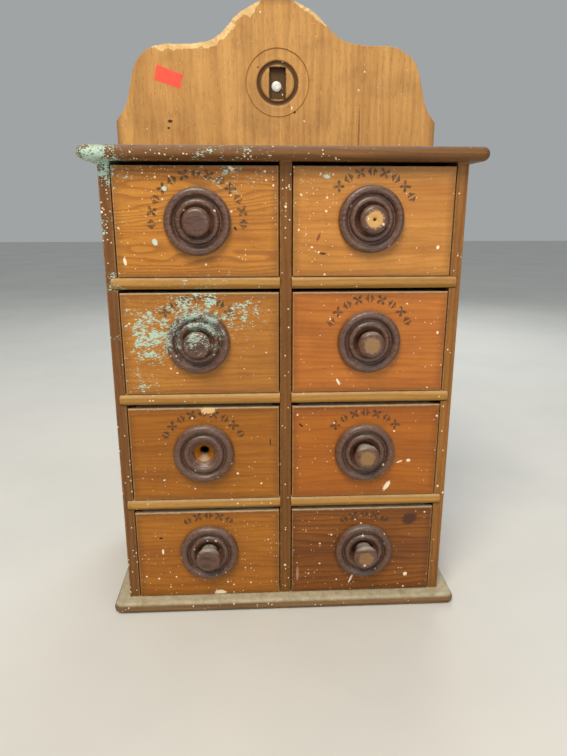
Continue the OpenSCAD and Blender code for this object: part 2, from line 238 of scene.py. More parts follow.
# How far a point lies from the nearest edge of its board, in mm: the middle one of its three depths.
edges, given, asked = startGroup(
    "boardEdge", [("Vector", vector, (0, 0, 0)), ("Low", vector, (0, 0, 0)), ("High", vector, (1, 1, 1))],
    [("Distance", number)])
depths = put(edges, vectorNode, {
    0: put(edges, vectorNode, {0: given["Vector"], 1: given["Low"]}, operation="SUBTRACT"),
    1: put(edges, vectorNode, {0: given["High"], 1: given["Vector"]}, operation="SUBTRACT")},
        operation="MINIMUM")
depth = put(edges, splitNode, {0: depths}, out=None).outputs
lesser = put(edges, mathNode, {0: depth[0], 1: depth[1]}, operation="MINIMUM")
greater = put(edges, mathNode, {0: depth[0], 1: depth[1]}, operation="MAXIMUM")
greater = put(edges, mathNode, {0: greater, 1: depth[2]}, operation="MINIMUM")
edges.links.new(put(edges, mathNode, {0: lesser, 1: greater}, operation="MAXIMUM"), asked["Distance"])

# Where the paint was thrown, in mm on the front: x, z, reach, amount. It falls on every piece alike.
thrown = {
    "cream": [(-118, 300, 34, 0.85), (-100, 345, 60, 0.8), (10, 325, 50, 0.75), (20, 290, 45, 0.4),
              (-5, 348, 60, 0.6), (-105, 110, 40, 0.35), (-110, 25, 50, 0.5), (90, 410, 70, 0.35),
              (0, 4, 190, 0.35), (-30, 430, 40, 0.4)],
    "mint": [(-125, 343, 42, 0.85), (-128, 300, 26, 0.5), (-92, 222, 46, 0.72), (-62, 236, 52, 0.68),
             (-30, 238, 34, 0.55), (-104, 190, 30, 0.42), (-40, 343, 50, 0.45), (-120, 258, 18, 0.6)],
}
cloud, given, asked = startGroup(
    "thrownPaint", [("Vector", vector, (0, 0, 0))], [("cream", number), ("mint", number)])
flat = put(cloud, vectorNode, {0: given["Vector"], 1: (1, 0.25, 1)}, operation="MULTIPLY")
for colour, spots in thrown.items():
    total = 0.09 if colour == "cream" else 0.0
    for x, z, spread, amount in spots:
        away = put(cloud, vectorNode, {0: flat, 1: (x, -15, z)}, operation="DISTANCE", out="Value")
        spot = put(cloud, rangeNode, {0: away, 1: spread, 2: 0, 3: 0, 4: amount},
            interpolation_type="SMOOTHSTEP")
        total = put(cloud, mathNode, {0: total, 1: spot}, operation="MAXIMUM")
    cloud.links.new(total, asked[colour])
print("patterns ready")


def woodMaterial(name, look, node=None, marks=(), arcSpan=None, arcCentre=None):
    # Old wood under a thin rubbed varnish: streaks, dirt at its edges, drops and dust on top, and painted
    # shade with dirt in deep cuts.
    material = bpy.data.materials.new(name)
    material.use_nodes = True
    tree = material.node_tree
    shader = tree.nodes["Principled BSDF"]
    place = put(tree, vectorNode, {
        0: put(tree, "ShaderNodeTexCoord", out="Object"), "Scale": 1 / mm}, operation="SCALE")
    xyz = put(tree, splitNode, {0: place}, out=None).outputs
    board = put(tree, joinNode, {k: xyz[a.upper()] for k, a in zip("XYZ", look["order"])})
    board = put(tree, vectorNode, {0: board, 1: look["offset"]}, operation="ADD")
    wood = put(tree, "ShaderNodeGroup", {
        "Vector": board, "Ring Spacing": look["rings"], "Wander": look["wander"]}, out=None,
            node_tree=grain).outputs
    tone = times(tree, wood["Tone"], 0.55)
    tone = put(tree, mathNode, {0: wood["Fibre"], 1: 0.45, 2: tone}, operation="MULTIPLY_ADD")
    colour = put(tree, mixNode, {0: tone, 6: linear(look["pale"]), 7: linear(look["deep"])}, out=2,
        data_type="RGBA")
    lines = times(tree, wood["Figure"], look["figure"])
    colour = blend(tree, lines, colour, linear(look["line"]))
    pores = put(tree, mathNode, {0: wood["Pores"], 1: look.get("pores", 0.35)}, operation="MULTIPLY")
    colour = blend(tree, pores, colour, linear(look["line"]))
    cloudy = put(tree, noiseNode, {"Vector": place, "Scale": 0.03, "Detail": 4, "Roughness": 0.6})
    grime = put(tree, rangeNode, {0: cloudy, 1: 0.48, 2: 0.75, 3: 0, 4: look.get("grime", 0.25)})
    if node:
        low, high = boxes[node]
        fromEdge = put(tree, "ShaderNodeGroup", {
            "Vector": place, "Low": low / mm, "High": high / mm}, node_tree=edges)
        jagged = put(tree, noiseNode, {"Vector": place, "Scale": 0.35, "Detail": 4, "Roughness": 0.7})
        fromEdge = put(tree, mathNode, {0: jagged, 1: -2.4, 2: fromEdge}, operation="MULTIPLY_ADD")
        dirt = put(tree, rangeNode, {0: fromEdge, 1: 5.5, 2: -1.2, 3: 0, 4: look.get("edgeDirt", 0.3)})
        grime = put(tree, mathNode, {0: grime, 1: dirt}, operation="MAXIMUM")
    if look.get("recessDirtAndShade"):  # whatever is cut deep into the board near one point is darkened: settled dirt together with painted shade, more the deeper the cut
        hub, within, shallow, deepest, behind = look["recessDirtAndShade"]
        near = put(tree, vectorNode, {
            0: put(tree, vectorNode, {0: place, 1: (1, 0, 1)}, operation="MULTIPLY"), 1: hub},
            operation="DISTANCE", out="Value")
        near = put(tree, mathNode, {0: near, 1: within}, operation="LESS_THAN")
        inFront = put(tree, mathNode, {0: xyz["Y"], 1: behind}, operation="LESS_THAN")
        near = times(tree, near, inFront)
        # painted shade and dirt: the colour darkens with depth below the face
        sunkDirtAndShade = put(tree, rangeNode, {0: xyz["Y"], 1: shallow, 2: deepest, 3: 0, 4: 0.9})
        grime = put(tree, mathNode, {
            0: grime, 1: times(tree, near, sunkDirtAndShade)}, operation="MAXIMUM")
    # the grime mask carries cloudy grime, edge dirt, and the painted shade with dirt in the recess
    colour = blend(tree, grime, colour, linear(look.get("dirt", "#3B2616")))
    if node and look.get("rubbed", 0):
        bare = put(tree, rangeNode, {0: fromEdge, 1: -0.15, 2: -0.75, 3: 0, 4: look["rubbed"]})
        colour = blend(tree, bare, colour, linear(look.get("bare", "#C9A26B")))
    rough = put(tree, rangeNode, {0: grime, 3: look["rough"], 4: min(1, look["rough"] + 0.25)})
    if arcSpan:
        ink = put(tree, "ShaderNodeGroup", {
            "Vector": place, "Centre": arcCentre, "From": math.radians(arcSpan[0]),
            "To": math.radians(arcSpan[1])}, node_tree=arc)
        facing = put(tree, splitNode, {0: put(tree, "ShaderNodeNewGeometry", out="Normal")}, out="Y")
        facing = put(tree, mathNode, {0: facing, 1: -0.5}, operation="LESS_THAN")
        ink = times(tree, ink, facing)
        colour = put(tree, mixNode, {
            0: times(tree, ink, 0.88),
            6: colour, 7: linear("#33291E")}, out=2, data_type="RGBA")
    amounts = put(tree, "ShaderNodeGroup", {"Vector": place}, out=None, node_tree=cloud).outputs
    smallDrops = put(tree, "ShaderNodeGroup", {
        "Vector": place, "Amount": put(tree, mathNode, {
            0: amounts["cream"], 1: look.get("drops", 1)}, operation="MULTIPLY"), "Cell": 2.3,
                "Size": 0.2}, node_tree=drops)
    bigDrops = put(tree, "ShaderNodeGroup", {
        "Vector": place, "Amount": put(tree, mathNode, {
            0: amounts["cream"], 1: look.get("drops", 1) * 0.5}, operation="MULTIPLY"), "Cell": 4.6,
                "Size": 0.13},
        node_tree=drops)
    paint = put(tree, mathNode, {0: smallDrops, 1: bigDrops}, operation="MAXIMUM")
    colour = blend(tree, paint, colour, linear("#F0DDBC"))
    mint = put(tree, "ShaderNodeGroup", {
        "Vector": place, "Amount": amounts["mint"]}, node_tree=flakes)
    mintThere = put(tree, rangeNode, {0: amounts["mint"], 1: 0.02, 2: 0.2, 3: 0, 4: look.get("mint", 1)})
    mint = times(tree, mint, mintThere)
    colour = blend(tree, mint, colour, linear("#AFCDBB"))
    paint = put(tree, mathNode, {0: paint, 1: mint}, operation="MAXIMUM")
    for x, z, wide, high, turn, ragged, tint in marks:
        mark = put(tree, "ShaderNodeGroup", {
            "Vector": place, "Place": (x, frontOf(node) if node else 0, z), "Half Size": (wide, 40, high),
            "Turn": math.radians(turn), "Ragged": ragged}, node_tree=smear)
        colour = blend(tree, mark, colour, linear(tint))
    if look.get("dust", 0):
        up = put(tree, splitNode, {0: put(tree, "ShaderNodeNewGeometry", out="Normal")}, out="Z")
        patchy = put(tree, noiseNode, {"Vector": place, "Scale": 0.12, "Detail": 5, "Roughness": 0.7})
        up = put(tree, rangeNode, {0: up, 1: look.get("dustFrom", 0.35), 2: 0.95},
            interpolation_type="SMOOTHSTEP")
        dust = put(tree, mathNode, {
            0: put(tree, rangeNode, {0: patchy, 1: 0.3, 2: 0.6, 3: 0.45, 4: 1}), 1: up},
                operation="MULTIPLY")
        dust = times(tree, dust, look["dust"])
        colour = blend(tree, dust, colour, linear(look.get("dustTint", "#B9B39C")))
        rough = put(tree, mixNode, {0: dust, 2: rough, 3: 0.95})
    height = times(tree, wood["Fibre"], 0.25)
    height = put(tree, mathNode, {0: wood["Pores"], 1: -0.5, 2: height}, operation="MULTIPLY_ADD")
    height = put(tree, mathNode, {0: paint, 1: 1.4, 2: height}, operation="MULTIPLY_ADD")
    dents = put(tree, noiseNode, {"Vector": place, "Scale": 0.11, "Detail": 2})
    height = put(tree, mathNode, {0: dents, 1: 2.2, 2: height}, operation="MULTIPLY_ADD")
    bump = put(tree, "ShaderNodeBump", {"Height": height, "Strength": 0.6,
        "Distance": look.get("relief", 0.12) * mm})
    for label, source in (("Base Color", colour), ("Roughness", rough), ("Normal", bump)):
        tree.links.new(source, shader.inputs[label])
    shader.inputs["IOR"].default_value = 1.5
    shader.inputs["Specular IOR Level"].default_value = look.get("shine", 0.3)
    shader.inputs["Coat Weight"].default_value = look.get("coat", 0.06)
    shader.inputs["Coat Roughness"].default_value = 0.35
    return material


def frontOf(node):  # where a board's front face lies, in mm
    return boxes[node][0].y / mm


def dress(node, material):
    mesh = nodes[node].data
    mesh.materials.clear()
    mesh.materials.append(material)


def meshPiece(name, verts, faces, material, body, smooth=True):
    mesh = bpy.data.meshes.new(name)
    mesh.from_pydata(verts, [], faces)
    mesh.materials.append(material)
    piece = bpy.data.objects.new(name, mesh)
    bpy.context.scene.collection.objects.link(piece)
    tidyMesh(piece, smooth)
    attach(piece, body)
    return piece


def tidyMesh(piece, smooth):
    work = bmesh.new()
    work.from_mesh(piece.data)
    bmesh.ops.remove_doubles(work, verts=work.verts, dist=1e-6)
    bmesh.ops.recalc_face_normals(work, faces=work.faces)
    work.to_mesh(piece.data)
    work.free()
    piece.data.polygons.foreach_set("use_smooth", [smooth] * len(piece.data.polygons))


# Drawer fronts: birch or poplar stained amber, one look each because every board is its own.
frontLook = {
    "order": "xzy", "rings": 4.2, "wander": 30, "figure": 0.24, "rough": 0.46, "relief": 0.12, "coat": 0.08,
    "edgeDirt": 0.42, "grime": 0.2, "rubbed": 0.35, "dust": 0.85, "dustFrom": 0.5, "pores": 0.3,
}
fronts = {
    ("left", 1): {"pale": "#C98B36", "deep": "#A46119", "line": "#6A340E", "figure": 0.42, "wander": 60,
                  "arc": (-98, 98)},
    ("right", 1): {"pale": "#D09240", "deep": "#AC6C24", "line": "#85481A", "figure": 0.2,
        "arc": (-50, 66)},
    ("left", 2): {"pale": "#BE8232", "deep": "#96591A", "line": "#67370F", "arc": (-62, 62)},
    ("right", 2): {"pale": "#C67B28", "deep": "#A2581A", "line": "#7A3C12", "arc": (-70, 72)},
    ("left", 3): {"pale": "#B27018", "deep": "#8A4F0C", "line": "#64340E", "arc": (-66, 64)},
    ("right", 3): {"pale": "#BA6E16", "deep": "#944F0E", "line": "#743A10", "arc": (-60, 54)},
    ("left", 4): {"pale": "#B5741E", "deep": "#8C5010", "line": "#5E2E0A", "arc": (-36, 38)},
    ("right", 4): {"pale": "#965816", "deep": "#6A390A", "line": "#472408", "figure": 0.5,
        "arc": (-46, 46)},
}
cream, mintTint, soot, raw = "#EFE0C4", "#BFD6C6", "#2B1A10", "#D8B57C"
# Marks: x and z in mm from the middle of the front, half width, half height, turn, raggedness, colour.
frontMarks = {
    ("left", 1): [(-50, -26, 1.1, 2.6, 10, 0.25, cream), (24, 35, 2.2, 1.2, -30, 0.35, cream),
                  (26, -4, 0.8, 1.6, 30, 0.3, soot), (-29, -13, 1.8, 2.4, 20, 0.4, mintTint),
                  (-21, 22, 2.0, 1.5, 0, 0.5, mintTint)],
    ("right", 1): [(-33, 30, 2.4, 1.4, -10, 0.4, mintTint), (-35, -21, 2.6, 0.8, -5, 0.4, "#4A2412"),
                   (-38, -10, 1.0, 3.2, -25, 0.6, "#8A4A22"), (46, -17, 1.1, 1.4, 0, 0.4, cream)],
    ("right", 2): [(-22, -29, 0.9, 2.8, 28, 0.35, cream), (50, 7, 0.8, 1.2, 0, 0.3, cream)],
    ("left", 3): [(3, 35, 5.6, 2.6, 0, 0.45, raw), (24, -16, 0.9, 0.9, 0, 0.2, cream),
                  (49, 9, 0.5, 3.0, 0, 0.5, soot)],
    ("right", 3): [(18, -29, 1.8, 4.6, -32, 0.35, cream), (34, -8, 1.7, 1.3, 0, 0.35, cream),
                   (27, -9, 2.6, 0.6, 20, 0.7, cream), (-49, 22, 2.2, 0.8, -40, 0.6, soot)],
    ("left", 4): [(-37, 15, 1.4, 0.9, 0, 0.4, soot), (-36, 3, 0.9, 2.4, 0, 0.35, cream),
                  (8, -35, 4.6, 2.2, 0, 0.6, cream)],
    ("right", 4): [(-7, -24, 0.8, 7.0, -22, 0.5, cream), (37, -23, 1.8, 1.8, 30, 0.7, cream),
                   (-51, -20, 1.2, 6.6, 0, 0.4, "#A07A5C"), (38, 27, 6.5, 5.0, 20, 0.7, "#4A2A17")],
}
drawerBox = {
    "order": "yzx", "offset": (310, 55, 33), "pale": "#C79A5E", "deep": "#A3763F", "line": "#7D5529",
    "rings": 5,
    "wander": 14, "figure": 0.4, "rough": 0.62, "coat": 0.0, "grime": 0.35, "drops": 0.1, "mint": 0,
    "relief": 0.1,
}
sideWood = woodMaterial("unfinishedPineSides", drawerBox)
backWood = woodMaterial("unfinishedPineBacks", {**drawerBox, "order": "xzy", "offset": (75, 48, 60)})
bottomWood = woodMaterial("unfinishedPineBottoms", {**drawerBox, "order": "xyz", "offset": (15, 70, 44)})
for column in columns:
    for row in rows:
        drawer = f"drawer_{column}_{row}"
        middle = centreOf(drawer + "_front") / mm
        ring = centreOf(drawer + "_rosette") / mm
        look = {**frontLook, **fronts[column, row], "offset": (170 * row, 60 + 17 * row, 30 + 9 * row)}
        if column == "right":
            look["offset"] = (900 + 140 * row, 71 + 13 * row, 42)
        marks = [(x + middle.x, z + middle.z, *rest) for x, z, *rest in frontMarks.get((column, row), ())]
        dress(drawer + "_front", woodMaterial(
            f"stainedFront_{column}_{row}", look, drawer + "_front", marks, look["arc"],
            (ring.x, 0, ring.z)))
        dress(drawer + "_sides", sideWood)
        dress(drawer + "_back", backWood)
        dress(drawer + "_bottom", bottomWood)
print("drawer boxes dressed")

# Case boards, the same wood with more wear where hands and dust reach.
caseLook = {
    "pale": "#B88238", "deep": "#8A5A26", "line": "#5E3814", "rings": 4.5, "wander": 12, "figure": 0.35,
    "rough": 0.5, "edgeDirt": 0.4, "grime": 0.35, "rubbed": 0.3, "relief": 0.14, "dust": 0.5,
}
upright = {**caseLook, "order": "zxy", "pale": "#B4792C", "deep": "#85511A", "line": "#4E2D10"}
dress("side_left", woodMaterial("varnishedSideLeft", {
    **upright, "offset": (40, 66, 50), "pale": "#96632B", "deep": "#69411C"}, "side_left"))
dress("side_right", woodMaterial("varnishedSideRight", {**upright, "offset": (440, 77, 41)}, "side_right"))
dress("center_divider", woodMaterial("varnishedDivider", {
    **upright, "offset": (840, 58, 37), "pale": "#A06A22", "deep": "#70430F"}, "center_divider"))
for column in columns:
    for row in rows[:-1]:
        node = f"shelf_{column}_{row}"
        dress(node, woodMaterial("waxedNose_" + node, {
            **caseLook, "order": "xyz", "offset": (200 * row, 52 + 20 * row, 61), "pale": "#CC9A45",
            "deep": "#A87430",
            "line": "#7A4F20", "rubbed": 0.2, "dust": 0.5, "dustTint": "#D3BE8F"}, node))
dress("top_board", woodMaterial("darkTopBoard", {
    **caseLook, "order": "xyz", "offset": (30, 80, 50), "pale": "#8C5E2A", "deep": "#5F3C1B",
    "line": "#3A2412",
    "dust": 0.55, "dustTint": "#8D7F74", "drops": 1.3, "bare": "#B98443", "rubbed": 0.5}, "top_board"))
dress("base_board", woodMaterial("wornBaseBoard", {
    **caseLook, "order": "xyz", "offset": (700, 64, 58), "pale": "#A07A48", "deep": "#64482A",
    "line": "#3E2C1A",
    "dust": 0.95, "dustFrom": 0.4, "dustTint": "#BDB89C", "drops": 1.2, "rough": 0.62, "coat": 0.05},
        "base_board"))


def ironMaterial(name, pale, deep):  # wrought nail iron, dull grey-brown with a bloom of rust
    material = bpy.data.materials.new(name)
    material.use_nodes = True
    tree = material.node_tree
    shader = tree.nodes["Principled BSDF"]
    place = put(tree, vectorNode, {
        0: put(tree, "ShaderNodeTexCoord", out="Object"), "Scale": 1 / mm}, operation="SCALE")
    rust = put(tree, noiseNode, {"Vector": place, "Scale": 1.1, "Detail": 4, "Roughness": 0.7})
    rust = put(tree, rangeNode, {0: rust, 1: 0.4, 2: 0.6})
    colour = put(tree, mixNode, {0: rust, 6: linear(pale), 7: linear(deep)}, out=2, data_type="RGBA")
    rough = put(tree, rangeNode, {0: rust, 3: 0.45, 4: 0.85})
    metal = put(tree, rangeNode, {0: rust, 3: 0.9, 4: 0.1})
    bump = put(tree, "ShaderNodeBump", {"Height": rust, "Strength": 0.5, "Distance": 0.05 * mm})
    for label, source in (("Base Color", colour), ("Roughness", rough), ("Metallic", metal),
            ("Normal", bump)):
        tree.links.new(source, shader.inputs[label])
    return material


nailIron = ironMaterial("rustedNailIron", "#6B635C", "#4A2C1C")
dress("case_nails", nailIron)
print("case dressed")

# Backboard: the scrolled board again, with a broken front edge on the crest, turned rings and the cut slot.
crest = {
    "step": 1.2, "arris": 0.45, "chipDepth": 2.6,                  # mm
    "chips": [(-104, -30, 4.4), (-34, -14, 6.2), (13, 42, 2.6)],   # from x to x, width of the broken edge
    "ringHeight": 62.3, "pocket": (13.0, 24.0, 5.4), "pocketBevel": 1.6,
}

low, high = boxes["backboard"]
crestFoot = boxes["top_board"][1].z
ringCentre = (0, low.y, crestFoot + crest["ringHeight"] * mm)
backLook = {
    "order": "zxy", "offset": (1300, 92, 45), "pale": "#D3A25C", "deep": "#AE7C3E", "line": "#7E5426",
    "rings": 5,
    "wander": 18, "figure": 0.22, "rough": 0.55, "edgeDirt": 0.5, "grime": 0.3, "relief": 0.12,
    "coat": 0.05,
    "dust": 0.3, "drops": 0.8, "pores": 0.45,
    # the turned rings and the slot get painted shade and dirt that deepen with depth
    "recessDirtAndShade": ((0, 0, ringCentre[2] / mm), 28, low.y / mm + 0.45, low.y / mm + 1.9, low.y / mm + 7),
}
ringZ = ringCentre[2] / mm
backMarks = [
    (-91.1, crestFoot / mm + 32.0, 2.1, 1.3, 0, 0.25, "#3A2414"),
    (-92.6, crestFoot / mm + 26.7, 1.3, 0.9, 0, 0.25, "#3A2414"),
    (-16.5, ringZ + 12, 0.8, 0.8, 0, 0.2, "#3A2414"), (14.5, ringZ - 22.5, 1.1, 1.1, 0, 0.2, "#2E1B0E"),
    (12, 399 - 7, 0.7, 1.4, 0, 0.5, cream), (70, 365, 0.8, 30, 0, 0.7, "#8A5F33"),
]
pineBoard = woodMaterial("scrolledPineBoard", backLook, "backboard", backMarks)
rawPine = woodMaterial("brokenRawPine", {
    **backLook, "pale": "#E8CC96", "deep": "#C9A468", "line": "#9A7844", "rough": 0.8, "coat": 0,
    "grime": 0.45,
    "dirt": "#A88A5C", "drops": 0.2, "dust": 0, "recessDirtAndShade": None})


def boardOutline():  # the node's own front outline, anticlockwise, in metres
    node = nodes["backboard"]
    low, high = boxes["backboard"]
    rounded = {(round(v.co.x, 6), round(v.co.z, 6)) for v in node.data.vertices if v.co.y < low.y + 1e-5}
    hub = Vector((0, 0.35))
    halfPocket = (crest["pocket"][0] / 2 + 1) * mm, (crest["pocket"][1] / 2 + 1) * mm
    ringZ = boxes["top_board"][1].z + crest["ringHeight"] * mm
    outer = [Vector(p) for p in rounded if abs(p[0]) > halfPocket[0] or abs(p[1] - ringZ) > halfPocket[1]]
    outer = [p for p in outer if not nearNail(p)]
    outer.sort(key=lambda p: math.atan2(p.y - hub.y, p.x - hub.x))
    return outer


def nearNail(p):  # nail holes lie inside the outline, so they are left out of it
    low, high = boxes["backboard"]
    inward = min(p.x - low.x, high.x - p.x)
    return inward > 1 * mm and p.y < boxes["top_board"][1].z and p.y > low.z + 1 * mm


outline = boardOutline()
print("outline points", len(outline))


def resample(points, step):
    even = []
    for a, b in zip(points, points[1:] + points[:1]):
        count = max(1, round((b - a).length / step))
        even += [a.lerp(b, k / count) for k in range(count)]
    return even


def inward(points, i):
    before, after = points[i - 1], points[(i + 1) % len(points)]
    run = (after - before).normalized()
    return Vector((-run.y, run.x))


outline = resample(outline, crest["step"] * mm)
chipped = []
loops = [[], [], [], []]  # wall side, side at the back, side at the front, front face
for i, p in enumerate(outline):
    n = inward(outline, i)
    width, onCrest = crest["arris"], p.y > crestFoot
    ragged = noise.noise(Vector((p.x * 260, p.y * 260, 3)))
    ragged += 0.6 * noise.noise(Vector((p.x * 900, p.y * 900, 7)))
    if onCrest:
        for start, end, wide in crest["chips"]:
            ease = min(1, max(0, (p.x / mm - start) / 7)) * min(1, max(0, (end - p.x / mm) / 7))
            if p.y > crestFoot + 80 * mm:
                width += wide * ease * (1 + 0.45 * ragged)
        width += 0.25 * (1 + ragged)
    chip = max(0, width - crest["arris"] - 0.4)
    deep = crest["arris"] + min(crest["chipDepth"], 0.55 * chip) * (1 + 0.2 * ragged)
    chipped.append(chip > 0.3)
    side = p + n * (0.15 * (1 + ragged) * mm if onCrest else 0)
    front = p + n * width * mm
    loops[0].append(Vector((side.x + n.x * 0.3 * mm, high.y, side.y + n.y * 0.3 * mm)))
    loops[1].append(Vector((side.x, high.y - 0.4 * mm, side.y)))
    loops[2].append(Vector((side.x, low.y + deep * mm, side.y)))
    loops[3].append(Vector((front.x, low.y, front.y)))
count = len(outline)
work = bmesh.new()
rings = [[work.verts.new(p) for p in loop] for loop in loops]
for level, (a, b) in enumerate(zip(rings, rings[1:])):
    for i in range(count):
        face = work.faces.new((a[i], a[(i + 1) % count], b[(i + 1) % count], b[i]))
        face.material_index = int(level == 2 and chipped[i])
for ring in (rings[0], rings[3]):
    capEdges = [work.edges.get((ring[i], ring[(i + 1) % count])) for i in range(count)]
    bmesh.ops.triangle_fill(work, use_beauty=True, use_dissolve=False, edges=capEdges)
bmesh.ops.recalc_face_normals(work, faces=work.faces)
boardMesh = bpy.data.meshes.new("scrolled_backboard")
boardMesh.materials.append(pineBoard)
boardMesh.materials.append(rawPine)
work.to_mesh(boardMesh)
work.free()
backboard = bpy.data.objects.new("scrolled_backboard", boardMesh)
bpy.context.scene.collection.objects.link(backboard)

# Turned rings as one cutter: radius and depth under the board's face, in mm.
ringProfile = [
    (0, 0.25), (6, 0.22), (12.6, 0.3), (13.6, 0.7), (14.3, 1.6), (15.2, 2.2), (16.4, 2.2), (17.3, 1.5),
    (17.9, 0.5),
    (19, 0.3), (22, 0.38), (25, 0.25), (25.9, 0.15), (26.15, 0.7), (26.5, 0.9), (26.85, 0.7), (27.1, -0.3),
]


def spun(profile, centre, steps, cap=6.0):  # a closed solid round an axis towards the viewer
    verts, faces = [], []
    closed = profile + [(profile[-1][0], -cap), (0, -cap)]
    for k in range(steps):
        a = 2 * math.pi * k / steps
        verts += [(centre[0] + r * math.cos(a) * mm, centre[1] + d * mm, centre[2] + r * math.sin(a) * mm)
                  for r, d in closed]
    size = len(closed)
    for k in range(steps):
        m = (k + 1) % steps
        faces += [(k * size + i, m * size + i, m * size + i + 1, k * size + i + 1) for i in range(size - 1)]
    return verts, faces


def cutWith(target, name, verts, faces):
    mesh = bpy.data.meshes.new(name)
    mesh.from_pydata(verts, [], faces)
    cutter = bpy.data.objects.new(name, mesh)
    bpy.context.scene.collection.objects.link(cutter)
    tidyMesh(cutter, False)
    cut = target.modifiers.new(name, "BOOLEAN")
    cut.operation, cut.solver, cut.object = "DIFFERENCE", "EXACT", cutter
    result = bpy.data.meshes.new_from_object(target.evaluated_get(bpy.context.evaluated_depsgraph_get()))
    target.modifiers.remove(cut)
    target.data = result
    bpy.data.objects.remove(cutter)


cutWith(backboard, "ringCutter", *spun(ringProfile, ringCentre, 128))


def pocketCutter():  # a chiselled slot: near square at the bottom, spread and ragged at the face
    wide, tall, deep = crest["pocket"]
    shape, faces, levels = [], [], ((-3, 1.5), (0.2, 1.15), (1.3, 0.35), (deep, 0.0))
    steps = 14
    for depth, spread in levels:
        for k in range(4 * steps):
            side, t = divmod(k, steps)
            t = t / steps * 2 - 1
            x, z = ((t, -1), (1, t), (-t, 1), (-1, -t))[side]
            x, z = x * wide / 2, z * tall / 2
            rough = noise.noise(Vector((x * 0.7, z * 0.7, depth * 0.3))) * (0.35 if spread < 1 else 0.7)
            reach = spread * crest["pocketBevel"]
            if abs(x) > wide / 2 - 0.01:
                x += math.copysign(reach * 0.62 + rough, x)
            if abs(z) > tall / 2 - 0.01:
                z += math.copysign(reach * 0.8 + rough, z)
            shape.append((ringCentre[0] + x * mm, low.y + depth * mm, ringCentre[2] + z * mm))
    n = 4 * steps
    for level in range(len(levels) - 1):
        faces += [(level * n + k, level * n + (k + 1) % n, (level + 1) * n + (k + 1) % n,
            (level + 1) * n + k)
                  for k in range(n)]
    faces += [tuple(range(n)), tuple(range(len(shape) - n, len(shape)))]
    return shape, faces


cutWith(backboard, "pocketCutter", *pocketCutter())
hangHole = {"radius": 2.5, "past": 9, "sides": 32}  # mm


def holeCutter():  # the round hole that goes on through the board behind the slot
    radius, past, sides = hangHole["radius"] * mm, hangHole["past"] * mm, hangHole["sides"]
    shape = []
    for k in range(sides):
        a = 2 * math.pi * k / sides
        x, z = radius * math.cos(a), ringCentre[2] + radius * math.sin(a)
        shape += [(x, y, z) for y in (low.y - past, high.y + past)]
    faces = [(2 * k, 2 * ((k + 1) % sides), 2 * ((k + 1) % sides) + 1, 2 * k + 1) for k in range(sides)]
    faces += [tuple(range(0, 2 * sides, 2)), tuple(range(1, 2 * sides, 2))]
    return shape, faces


cutWith(backboard, "holeCutter", *holeCutter())
print("backboard cut:", len(backboard.data.polygons), "faces")
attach(backboard, "case")
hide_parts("backboard")


# Turned rosettes and knobs: dark stained hardwood, the stain rubbed to a greyish mauve on what stands proud.
turnedLook = {"deep": "#3A2317", "mid": "#644434", "worn": "#A07A62", "rough": 0.36}


